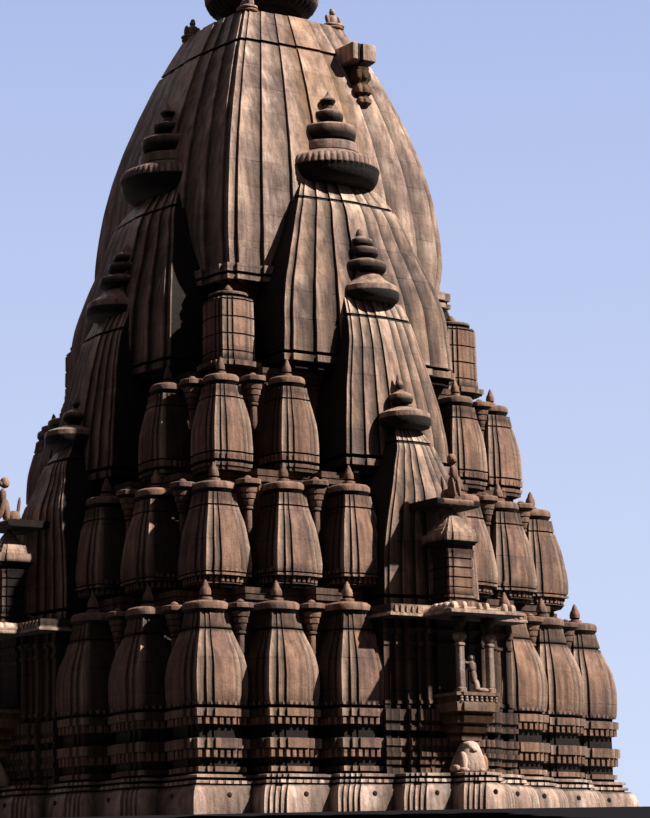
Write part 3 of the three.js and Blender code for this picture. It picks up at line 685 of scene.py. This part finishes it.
# Plan, distance out and aside, then height and step outwards of each level.
BAY_PLAN = np.array([[4300, 200], [4316, 300], [4240, 410], [4316, 470], [4236, 560], [4180, 640],
                     [4236, 740], [4150, 860], [4095, 960], [4150, 1048]], float)
BAY_EDGE = np.array([[525.3, 40], [600, 40], [606, 10], [640, 10], [646, 32], [736, 32], [742, 66],
                     [800, 68], [806, 40], [880, 44], [886, 64], [978, 60], [984, 4], [1076, 4],
                     [1082, 62], [1140, 64], [1146, 34], [1200, 38], [1206, 66], [1350, 58], [1358, 0],
                     [1420, 0], [1426, 18], [1470, 18], [1476, 0], [2180, 0], [2186, 20], [2230, 20],
                     [2236, 2], [2330, 2], [2336, 24], [2400, 30], [2408, 6], [2524.7, 6]], float)
heights, step = BAY_EDGE.T
BAY_WALL, BAY_INNER = 4150, 3000
# Bold mouldings run nearly straight over the grooves between the pilasters. At the ends all step sideways.
BOLD, STRAIGHT_HALF, ENDS_FROM = 30, 700, 900
outs = BAY_PLAN[:, 0] + step[:, None]
straight = 0.9 * (BAY_PLAN[:, 0].max() - BAY_WALL) * (BAY_PLAN[:, 1] < STRAIGHT_HALF)
outs = np.where((step >= BOLD)[:, None], np.maximum(outs, BAY_WALL + straight + step[:, None]), outs)
sides = BAY_PLAN[:, 1] + 0.5 * step[:, None] * (BAY_PLAN[:, 1] > ENDS_FROM)
rings, nook = against_wall(outs, sides, BAY_INNER, heights)
# Painted shade darkens the grooves and inner corners, fills the recess behind the balcony, and greys the wall
# beside it.
RECESS_HALF, RECESS_FOOT, RECESS_BACK, BESIDE = 305, 1420, 4000, 600
middle = (np.abs(rings[..., 1]) < RECESS_HALF) & (rings[..., 0] > RECESS_BACK)
recess_shade = 0.97 * (middle & (heights > RECESS_FOOT)[:, None])
aside = 0.4 * (np.abs(rings[..., 1]) > BESIDE)
dirt_and_shade = np.maximum(np.maximum(recess_dirt_and_shade(heights, step, 60, 40), nook), np.maximum(recess_shade, aside))
bay = skin(rings, dirt_and_shade, foot=(BAY_INNER, 0, heights[0]), head=(BAY_INNER, 0, heights[-1]))
for quarters, side in enumerate(SIDES):
    piece = carve(f"{side}_bay_stone", [quarter_turned(bay, quarters)], weathered_sandstone)
    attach(piece, "root")
    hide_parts(f"{side}_bay")

# Roof of the bay: a thick slab of washed sandstone with small merlons on its ledge, that slopes down like
# an awning over the balcony and carries worn lumps at its corners.

# Height, and step outwards of the front and of the side, at each level.
ROOF_EDGE = np.array([[2525, -90, -70], [2531, -14, -14], [2538, 0, -2], [2566, 0, -2],
                      [2580, -30, -26], [2604, -110, -40], [2632, -220, -34], [2662, -350, -34],
                      [2690, -500, -40]], float)
ROOF_OUTS, ROOF_SIDES = (5028, 4428), (598, 1128)
heights, step = ROOF_EDGE[:, 0], ROOF_EDGE[:, 2]
rings, _ = against_wall(ROOF_OUTS + ROOF_EDGE[:, 1:], ROOF_SIDES + ROOF_EDGE[:, 1:] * (0.3, 1.0),
                        BAY_INNER, heights)
# It is painted dark beside the awning and in its grooves: painted shade.
SHADE_FOOT, SHADE_ASIDE = 2590, 640
shaded_behind = (heights > SHADE_FOOT)[:, None] & (np.abs(rings[..., 1]) > SHADE_ASIDE)
slab = skin(rings, np.maximum(recess_dirt_and_shade(heights, step, 30, 40), 0.9 * shaded_behind), -0.25,
            foot=(BAY_INNER, 0, heights[0]), head=(BAY_INNER, 0, heights[-1]))
MERLON_START, MERLON_END, MERLON_PITCH, MERLON_HALF, MERLON_TAPER = 650, 1110, 92, 29, 12.0
MERLON_BACK, MERLON_FRONT, MERLON_FOOT, MERLON_TOP = 4338, 4424, 2578, 2672
spots = np.arange(MERLON_START, MERLON_END, MERLON_PITCH)
merlons = [(MERLON_BACK, MERLON_FRONT, sign * spot - MERLON_HALF, sign * spot + MERLON_HALF, MERLON_FOOT,
            MERLON_TOP) for spot in spots for sign in (-1, 1)]
roof = [slab, blocks(merlons, MERLON_TAPER)]
# Worn lumps: distance out, distance from the middle and half width.
WORN = ((4900, 470, 62), (4800, 500, 70), (4690, 485, 78), (4590, 505, 62), (4520, 470, 70),
        (4930, 330, 46), (4905, 60, 40))
WORN_HEIGHT, WORN_HALF_HEIGHT = 2612, 78
for out, middle, size in WORN:
    for sign in (-1, 1):
        half = (size, 0.9 * size, WORN_HALF_HEIGHT)
        roof.append(lump((out, sign * middle, WORN_HEIGHT), half, 2.6, (8, 12), ochre=-0.9))
roof = gather(roof)
for quarters, side in enumerate(SIDES):
    piece = carve(f"{side}_bay_roof_stone", [quarter_turned(roof, quarters)], spire_sandstone)
    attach(piece, "root")
    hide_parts(f"{side}_bay_roof")

# Balcony: a corbel of stacked rolls, a floor block with a baluster parapet and two turned columns, over a
# crouching beast. Carved from pale sandstone that drips have stained with rust.

# Height, distance out and half width of each level.
CORBEL = np.array([[935, 4530, 185], [945, 4560, 196], [1010, 4580, 205], [1018, 4560, 196],
                   [1040, 4560, 200], [1048, 4620, 230], [1120, 4650, 246], [1130, 4625, 236],
                   [1160, 4640, 246], [1168, 4690, 282], [1250, 4720, 300], [1260, 4690, 290],
                   [1300, 4710, 300], [1308, 4765, 336], [1388, 4785, 350], [1392, 4785, 350],
                   [1420, 4785, 350], [1428, 4755, 322], [1500, 4755, 322], [1506, 4783, 348],
                   [1550, 4783, 348]], float)
CORBEL_INNER, CORBEL_STEP = 4120, 26
heights = CORBEL[:, 0]
outs = CORBEL[:, 1:2] - (0, CORBEL_STEP)
sides = CORBEL[:, 2:] * (0.72, 1.0)
rings, _ = against_wall(outs, sides, CORBEL_INNER, heights)
# The corbel is darkened all over and more in its grooves: painted shade.
shelf = skin(rings, np.maximum(recess_dirt_and_shade(heights, CORBEL[:, 1], 90, 36), 0.62), 0.16)
# Turned rings: radius, height and grime with painted shade, darkest at the columns' tops under the roof.
COLUMN = [[66, 1545, 0.4], [66, 1600, 0.3], [52, 1612, 0.6], [54, 1625, 0.4], [50, 2140, 0.45],
          [62, 2150, 0.4], [62, 2175, 0.35], [48, 2185, 0.6], [54, 2200, 0.45], [80, 2240, 0.3],
          [84, 2275, 0.3], [68, 2310, 0.7], [46, 2325, 0.9], [48, 2400, 0.9], [72, 2430, 0.9],
          [90, 2470, 0.9], [90, 2524, 1]]
BALUSTER = [[18, 1425, 0.5], [24, 1440, 0.1], [14, 1458, 0.4], [22, 1476, 0], [14, 1494, 0.3],
            [24, 1508, 0.3]]
COLUMN_OUT, COLUMN_ASIDE, BALUSTER_OUT, BALUSTER_ASIDE = 4705, 240, 4768, 280
balcony = [shelf]
for side in (-COLUMN_ASIDE, COLUMN_ASIDE):
    balcony.append(lathe(COLUMN, 20, COLUMN_OUT, side, squareness=3.2))
for side in np.linspace(-BALUSTER_ASIDE, BALUSTER_ASIDE, 8):
    balcony.append(lathe(BALUSTER, 8, BALUSTER_OUT, side))

# A small standing figure with one arm held out, in the recess, with a smooth plain face, half darkened as
# painted shade in the recess.
balcony += [
    lump((4600, 10, 2010), (38, 36, 48), 2.1, grime_and_shade=0.5),
    lump((4600, 16, 1900), (44, 52, 78), 2.4, grime_and_shade=0.55),
    lump((4610, 36, 1760), (42, 48, 90), 2.4, grime_and_shade=0.55),
    lump((4640, 62, 1640), (40, 44, 96), 2.4, grime_and_shade=0.4, tilt=-0.2),
    lump((4700, 110, 1580), (60, 90, 34), 2.4, grime_and_shade=0.1),
    lump((4600, -52, 1942), (22, 56, 20), 2.3, grime_and_shade=0.45),
    lump((4600, -110, 1972), (20, 34, 20), 2.3, grime_and_shade=0.45),
    lump((4600, 74, 1880), (20, 20, 74), 2.3, grime_and_shade=0.6),
]
# The beast: haunches that widen to the foot, forelegs with paws, and a head bent under the corbel.
BEAST = [[170, 530, 0], [214, 545, 0], [222, 590, 0], [206, 660, 0], [178, 740, 0], [150, 810, 0],
         [124, 870, 0], [96, 915, 0], [40, 936, 0]]
balcony += [
    lathe(BEAST, 28, 4500, -10, ochre=-0.3, squareness=2.6, lean=-0.1),
    lump((4600, -30, 860), (84, 92, 76), 2.2, ochre=-0.35),
    lump((4668, -40, 822), (42, 50, 40), 2.4, ochre=-0.35),
    lump((4630, -180, 655), (58, 52, 140), 2.4, ochre=-0.45, tilt=-0.1),
    lump((4640, 60, 655), (58, 52, 140), 2.4, ochre=-0.3, tilt=-0.1),
    lump((4668, -200, 556), (66, 60, 32), 2.6, ochre=-0.45),
    lump((4676, 62, 556), (66, 60, 32), 2.6, ochre=-0.2),
    lump((4560, -262, 575), (90, 46, 56), 2.4, ochre=-0.4),
    lump((4600, 168, 640), (66, 52, 120), 2.4, ochre=0.75),
]
balcony = gather(balcony)
for quarters, side in enumerate(SIDES):
    piece = carve(f"{side}_balcony_stone", [quarter_turned(balcony, quarters)], washed_sandstone)
    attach(piece, "root")
    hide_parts(f"{side}_balcony")

# Turret on the roof: a square pier of coursed sandstone with a cornice and a low pyramid, and over it a shelf
# that carries a rearing lion.

# Height and half width of each level.
TURRET = np.array([[2690.6, 250], [2760, 250], [2766, 226], [2800, 226], [2806, 246], [2836, 240],
                   [2842, 212], [2930, 210], [2935, 200], [2950, 200], [2955, 212], [3060, 210],
                   [3065, 198], [3082, 198], [3087, 212], [3190, 210], [3195, 198], [3212, 198],
                   [3217, 212], [3310, 210], [3315, 200], [3330, 200], [3335, 216], [3400, 220],
                   [3440, 236], [3446, 214], [3500, 214], [3506, 236], [3540, 252], [3548, 292],
                   [3600, 300], [3660, 298], [3668, 250], [3720, 232], [3728, 214], [3790, 176],
                   [3798, 160], [3860, 120], [3868, 108], [3940, 66], [4010, 20]], float)
TURRET_OUT, CORNICE_FOOT, CORNICE_TOP = 4280, 3540, 3600
heights, sizes = TURRET.T
rings, nook = all_round(sizes[:, None] * (1.0, 0.93), sizes[:, None] * (0.62, 0.93), heights)
# Its two sides are painted black: painted shade, with grime and darker recesses below the cornice.
shaded_sides = np.clip((np.abs(rings[..., 1]) - np.abs(rings[..., 0])) / sizes[:, None] * 6, 0, 1)
dirt_and_shade = np.maximum(recess_dirt_and_shade(heights, sizes, 60, 30), shaded_sides) * (heights < CORNICE_TOP)[:, None]
washed = -0.3 * (heights > CORNICE_FOOT)[:, None]
pier = moved(skin(rings, np.maximum(dirt_and_shade, 0.5 * nook), washed), TURRET_OUT, 0)
# The shelf: distance out, height and share of the wavy underside, drawn across its half width.
SHELF_EDGE = np.array([[3500, 4006, 1], [4430, 4006, 1], [4468, 4030, 0.4], [4474, 4090, 0],
                       [4440, 4114, 0], [3500, 4114, 0]])
SHELF_HALF, SHELF_WAVE, SHELF_UNSHADED_HALF = 350, 16, 245
along = np.linspace(-SHELF_HALF, SHELF_HALF, 36)[:, None]
wave = SHELF_WAVE * np.abs(np.sin(along / SHELF_HALF * np.pi * 2.5))
ledge_x, ledge_z, low = SHELF_EDGE[::-1].T
profile = np.stack([ledge_x + 0 * along, along + 0 * ledge_x, ledge_z + wave * low], -1)
# Painted shade: the wavy underside and the ends of the shelf are darkened.
ledge = skin(profile, np.maximum(0.9 * (low > 0.3), np.abs(along) > SHELF_UNSHADED_HALF))
lion = [
    lump((4330, 0, 4290), (58, 60, 170), 2.4, tilt=0.12),
    lump((4200, 0, 4200), (90, 62, 84), 2.4),
    lump((4375, 0, 4470), (52, 56, 110), 2.3, tilt=-0.1),
    lump((4340, 0, 4660), (66, 58, 76), 2.3),
    lump((4398, 0, 4640), (32, 36, 34), 2.6),
    lump((4400, -42, 4300), (38, 22, 150), 2.4, tilt=-0.25),
    lump((4400, 42, 4300), (38, 22, 150), 2.4, tilt=-0.25),
    lump((4230, -40, 4180), (30, 22, 84), 2.4, tilt=-0.3),
    lump((4230, 40, 4180), (30, 22, 84), 2.4, tilt=-0.3),
    lump((4130, 0, 4330), (24, 20, 150), 2.4, tilt=-0.15),
]
turret = gather([pier, ledge, *lion])
for quarters, side in enumerate(SIDES):
    piece = carve(f"{side}_turret_stone", [quarter_turned(turret, quarters)], weathered_sandstone)
    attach(piece, "root")
    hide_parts(f"{side}_turret")

# Main spire: the curved square body over the tiers, in courses of sandstone 0.4 m high. Each face has a broad
# middle band and four narrower stripes stepping back to the corner, over a moulded foot, and a seated figure
# on each corner of the shoulder.

# Height and half width of the curved body, up to its top.
SPIRE_ROWS = np.array([[7670, 1810], [8100, 1850], [8700, 1812], [9425, 1702], [10005, 1558],
                       [10585, 1372], [11020, 1212], [11235, 1122], [11530, 985], [11800, 860]], float)
# How far each stripe of a face stands out and where it ends, as shares of the half width.
SPIRE_STEPS = np.array([[0.100, 0.19], [0.075, 0.45], [0.050, 0.715], [0.025, 0.93], [0.0, 1.0]])
# One groove runs round under the top, painted dark as shade.
CUT_HEIGHT, CUT_HALF, CUT_DEPTH, CUT_EDGES = 11232, 26, 34.0, np.array([-32, -24, 24, 32])
even = np.linspace(SPIRE_ROWS[0, 0], SPIRE_ROWS[-1, 0], 62)
fine = np.sort(np.concatenate([even, CUT_HEIGHT + CUT_EDGES]))
half = bend(fine, SPIRE_ROWS)
cut = np.where(np.abs(fine - CUT_HEIGHT) < CUT_HALF, CUT_DEPTH, 0)
# Moulded foot: height, half width, and grime with painted shade, dark in its recesses.
foot = np.array([[7415.4, 1926, 0], [7480, 1926, 0], [7488, 1886, 0.8], [7520, 1886, 0.8],
                 [7528, 1922, 0], [7640, 1926, 0], [7648, 1850, 0.8], [7669, 1808, 0.4]])
heights = np.concatenate([foot[:, 0], fine])
sizes = np.concatenate([foot[:, 1], half - cut])
grime_and_shade = np.concatenate([foot[:, 2], cut / CUT_DEPTH])
rings, nook = all_round(sizes[:, None] * (1 + SPIRE_STEPS[:, 0]), sizes[:, None] * SPIRE_STEPS[:, 1], heights)
# The middle of each face is tinged with rust.
RUST_HALF = 380
ochre = 0.3 * (np.abs(rings[20, :, :2]).min(1) < RUST_HALF)
# The inner corners of the stripes are darkened: painted shade.
body = skin(rings, np.maximum(grime_and_shade[:, None], 0.8 * nook), ochre, foot=(0, 0, heights[0]),
            head=(0, 0, heights[-1]))


# Seated figure, as shares of its size: middle and half sizes of each lump, its power and its lean.
SEATED = (((0.02, 0, 0.12), (0.34, 0.42, 0.13), 2.6, 0), ((-0.06, 0, 0.42), (0.17, 0.22, 0.27), 2.4, 0),
          ((0.02, -0.26, 0.42), (0.10, 0.07, 0.24), 2.3, -0.2),
          ((0.02, 0.26, 0.42), (0.10, 0.07, 0.24), 2.3, -0.2),
          ((-0.02, 0, 0.80), (0.12, 0.11, 0.15), 2.1, 0), ((-0.04, 0, 0.94), (0.08, 0.08, 0.08), 2.1, 0))
# The ring under the figure: radius, height, and grime with painted shade, dark at its foot.
FIGURE_RING = [[120, -4, 1], [158, 0, 1], [166, 16, 0.7], [156, 36, 0.3], [60, 40, 0]]
FIGURE_SIZE, FIGURE_PLACE, FIGURE_FOOT = 400, 760, 11786


def seated():
    """Seated figure on a ring, that looks along +x: crossed legs, trunk, two arms, head and topknot from
    rounded lumps. The face is smooth and plain."""
    lumps = [lump(FIGURE_SIZE * np.array(middle), FIGURE_SIZE * np.array(half), power, tilt=lean)
             for middle, half, power, lean in SEATED]
    figure = gather(lumps)
    figure = figure[0] * (1, 1, 0.8) + (0, 0, 26), *figure[1:]
    return gather([figure, lathe(FIGURE_RING, 24, ochre=0.6)])


figure = moved(seated(), FIGURE_PLACE, FIGURE_PLACE, FIGURE_FOOT)
figures = [quarter_turned(figure, quarters) for quarters in range(4)]
spire = carve("main_spire_stone", [body, *figures], bleached_sandstone)
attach(spire, "root")
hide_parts("main_spire")

# Flag holder: a squared block of sandstone let into the right face beside its middle, with a groove cut down
# its end, and a carved drop of stacked lumps that hangs under it.

# Plan of the block, with the groove in its end, then height and distance inwards of each level of its edge.
BLOCK = np.array([[1000, 520], [1560, 520], [1588, 532], [1594, 545], [1594, 612], [1556, 622],
                  [1556, 698], [1598, 710], [1598, 925], [1585, 945], [1560, 950], [1000, 950]], float)
BLOCK_EDGE = np.array([[11000.5, 26], [11030, 4], [11080, 0], [11300, 0], [11335, 6], [11349, 20]])
BLOCK_ROOT, BLOCK_MIDDLE = 1000, 735
outward = np.sign(BLOCK - (BLOCK_ROOT, BLOCK_MIDDLE))
ring = BLOCK[None] - outward[None] * BLOCK_EDGE[:, 1, None, None]
ring[..., 0] = np.maximum(ring[..., 0], BLOCK_ROOT)
# The underside rises towards the end.
RISE = (70, 62, 45, 0, 0, 0)
RISE_START, RISE_LENGTH = 1150, 400
rise = np.outer(RISE, np.clip((BLOCK[:, 0] - RISE_START) / RISE_LENGTH, 0, 1))
ring = np.concatenate([ring, (BLOCK_EDGE[:, 0, None] + rise)[..., None]], -1)
# The groove is painted dark as shade.
grime_and_shade = np.zeros(len(BLOCK))
grime_and_shade[5:7] = 1
beam = carve("flag_beam_stone", [skin(ring, grime_and_shade)], bleached_sandstone)
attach(beam, "root")
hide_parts("flag_beam")
# Drop: radius, height, grime with painted shade, dark at its waists, and flute depth.
DROP = [[24, 10400, 0.8, 0], [84, 10410, 0.6, 12], [124, 10450, 0, 24], [130, 10500, 0, 26],
        [94, 10540, 0.9, 14], [90, 10560, 1, 12], [140, 10600, 0.4, 26], [152, 10655, 0, 30],
        [136, 10712, 0.2, 26], [100, 10745, 1, 12], [102, 10775, 1, 12], [142, 10822, 0.8, 28],
        [150, 10890, 0.9, 28], [124, 10950, 1, 14], [134, 10999, 1, 10]]
DROP_OUT, DROP_ASIDE = 1488, 750
drop = lathe(DROP, 60, DROP_OUT, DROP_ASIDE, ochre=0.2, flutes=7, squareness=2.8, lean=0.11)
bracket = carve("flag_bracket_stone", [drop], weathered_sandstone)
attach(bracket, "root")
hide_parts("flag_bracket")

# Crown: a short neck, painted dark as shade under the disc, the great ribbed disc and the pot-shaped finial
# with its bud, all turned and carved from sandstone.
CROWN_NECK = [[590, 11800.5, 0.8, 0], [585, 11860, 0.6, 8], [560, 11880, 0.9, 0], [560, 12000, 0.9, 0],
              [586, 12020, 0.7, 8], [588, 12074.5, 1, 0]]
neck = carve("crown_neck_stone", [lathe(CROWN_NECK, 96, flutes=16)], sooted_shade_sandstone)
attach(neck, "root")
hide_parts("crown_neck")
CROWN_RADIUS, CROWN_FOOT = 866, 12075.0
# Disc and finial as shares of the disc's radius: radius, height, grime with painted shade, dark under the
# disc, and flute depth. Grime is no length.
CROWN_SCALE, CROWN_LIFT = (CROWN_RADIUS, CROWN_RADIUS, 1, CROWN_RADIUS), (0, CROWN_FOOT, 0, 0)
RIBBED_CROWN = np.array([
    [0.66, 0.0, 1, 0], [0.80, 0.03, 1, 0.02], [0.92, 0.12, 1, 0.05], [0.985, 0.24, 0.4, 0.06],
    [1.0, 0.37, 0, 0.06], [0.985, 0.50, 0, 0.06], [0.93, 0.61, 0, 0.05], [0.83, 0.69, 0, 0.04],
    [0.72, 0.74, 0.2, 0.0],
])
disc = lathe(RIBBED_CROWN * CROWN_SCALE + CROWN_LIFT, 240, flutes=40)
disc = carve("crown_disc_stone", [disc], bleached_sandstone)
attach(disc, "root")
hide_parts("crown_disc")
CROWN_POT = np.array([
    [0.60, 0.742, 0.5, 0], [0.50, 0.80, 0.3, 0], [0.36, 0.93, 0.5, 0], [0.44, 0.99, 0.2, 0],
    [0.53, 1.06, 0, 0.02], [0.54, 1.16, 0, 0.02], [0.49, 1.20, 0.5, 0], [0.53, 1.24, 0, 0.02],
    [0.50, 1.31, 0, 0.02], [0.36, 1.37, 0.3, 0], [0.27, 1.42, 0.6, 0], [0.26, 1.48, 0.2, 0],
    [0.31, 1.56, 0, 0], [0.31, 1.68, 0, 0], [0.24, 1.80, 0, 0], [0.14, 1.88, 0.3, 0],
    [0.17, 1.94, 0, 0], [0.12, 2.02, 0, 0], [0.07, 2.16, 0, 0], [0.035, 2.298, 0, 0],
])
pot = lathe(CROWN_POT * CROWN_SCALE + CROWN_LIFT, 96, flutes=24)
pot = carve("crown_finial_stone", [pot], bleached_sandstone)
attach(pot, "root")
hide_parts("crown_finial")
